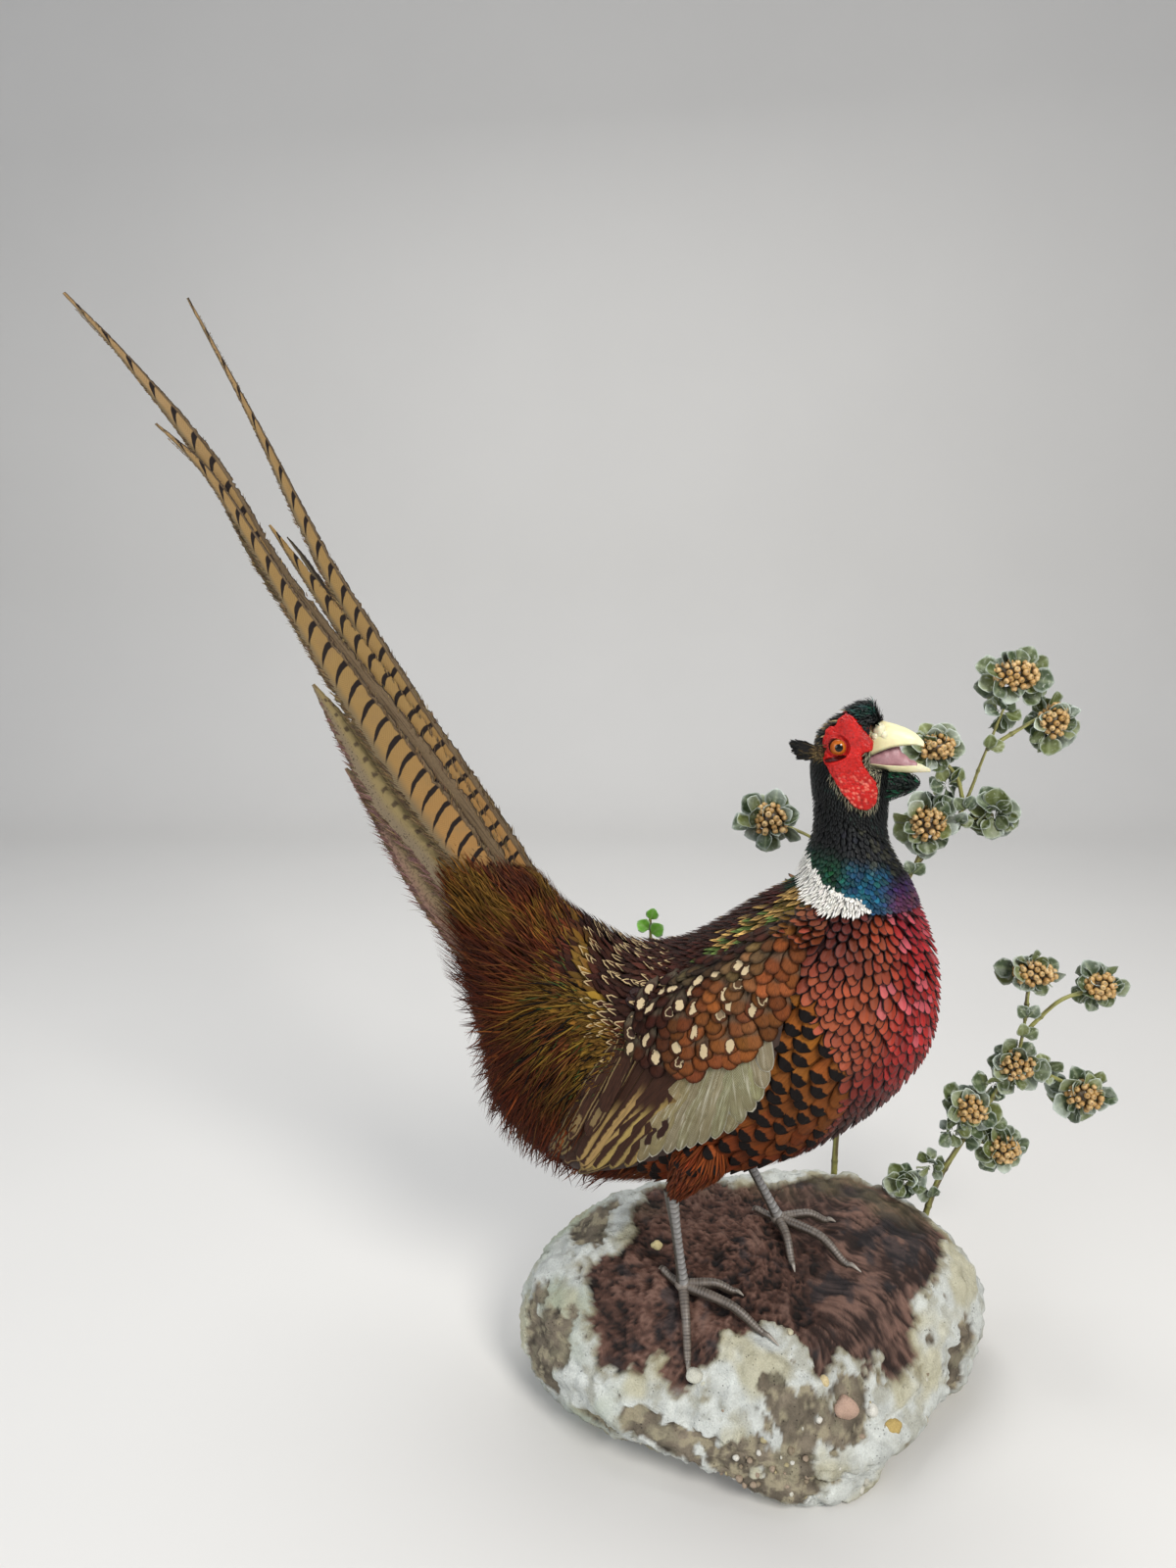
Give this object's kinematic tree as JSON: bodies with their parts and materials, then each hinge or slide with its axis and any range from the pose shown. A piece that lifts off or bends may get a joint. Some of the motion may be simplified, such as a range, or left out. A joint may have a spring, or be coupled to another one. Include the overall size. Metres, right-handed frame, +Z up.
{
  "type": "taxidermy pheasant",
  "caption": "Cock ring-necked pheasant, mounted standing with raised tail and open bill on a lichened rock, with sprigs of artificial berries.",
  "frame": {"origin": "on the rock's flat underside, below the middle of the rock", "axes": "+Z up; +X towards the side that the bird faces; +Y away from the side from which it is looked at"},
  "size_m": [0.6873, 0.2239, 0.7048],
  "materials": {
    "rock": "pitted plaster and bark, matt",
    "head_feathers": "short dark feathers with a green and blue sheen",
    "bill": "smooth ivory horn, satin",
    "mouth": "painted, satin",
    "iris": "clear glass over orange paint",
    "wattle": "granular bare skin, painted red",
    "breast_feathers": "scale-like feathers with dark edges",
    "rump_feathers": "long hair-like feathers",
    "wing_feathers": "layered feathers with pale marks",
    "thigh_feathers": "short soft feathers",
    "leg_scales": "dry scales, satin",
    "tail_feathers": "barred feather vanes",
    "stem": "moulded, matt",
    "berries": "moulded, matt",
    "leaves": "moulded, with a whitish bloom",
    "fresh_leaf": "moulded, satin"
  },
  "bodies": {
    "root": {"rock": "rock", "head": "head_feathers", "bill_upper": "bill", "bill_lower": "bill", "tongue": "mouth", "throat_tuft": "head_feathers", "eye_right": "iris", "eye_left": "iris", "wattle_right": "wattle", "wattle_left": "wattle", "ear_tuft_right": "head_feathers", "ear_tuft_left": "head_feathers", "neck": "head_feathers", "trunk": "breast_feathers", "rump": "rump_feathers", "wing_right": "wing_feathers", "wing_left": "wing_feathers", "thigh_right": "thigh_feathers", "thigh_left": "thigh_feathers", "leg_right": "leg_scales", "leg_left": "leg_scales", "tail_centre_long": "tail_feathers", "tail_centre_second": "tail_feathers", "tail_inner_right": "tail_feathers", "tail_ridge_right": "tail_feathers", "tail_outer_right": "tail_feathers", "tail_edge_right": "tail_feathers", "tail_inner_left": "tail_feathers", "tail_ridge_left": "tail_feathers", "tail_outer_left": "tail_feathers", "tail_edge_left": "tail_feathers", "sprig_tall_stem": "stem", "sprig_tall_cluster_1": "berries", "sprig_tall_cluster_2": "berries", "sprig_tall_cluster_3": "berries", "sprig_tall_cluster_4": "berries", "sprig_tall_cluster_5": "leaves", "sprig_tall_cluster_6": "berries", "sprig_low_stem": "stem", "sprig_low_cluster_1": "berries", "sprig_low_cluster_2": "berries", "sprig_low_cluster_3": "berries", "sprig_low_cluster_4": "berries", "sprig_low_cluster_5": "berries", "sprig_low_cluster_6": "berries", "sprig_low_cluster_7": "leaves", "sprig_green_stem": "stem", "sprig_green_cluster_1": "fresh_leaf"}
  },
  "joints": []
}
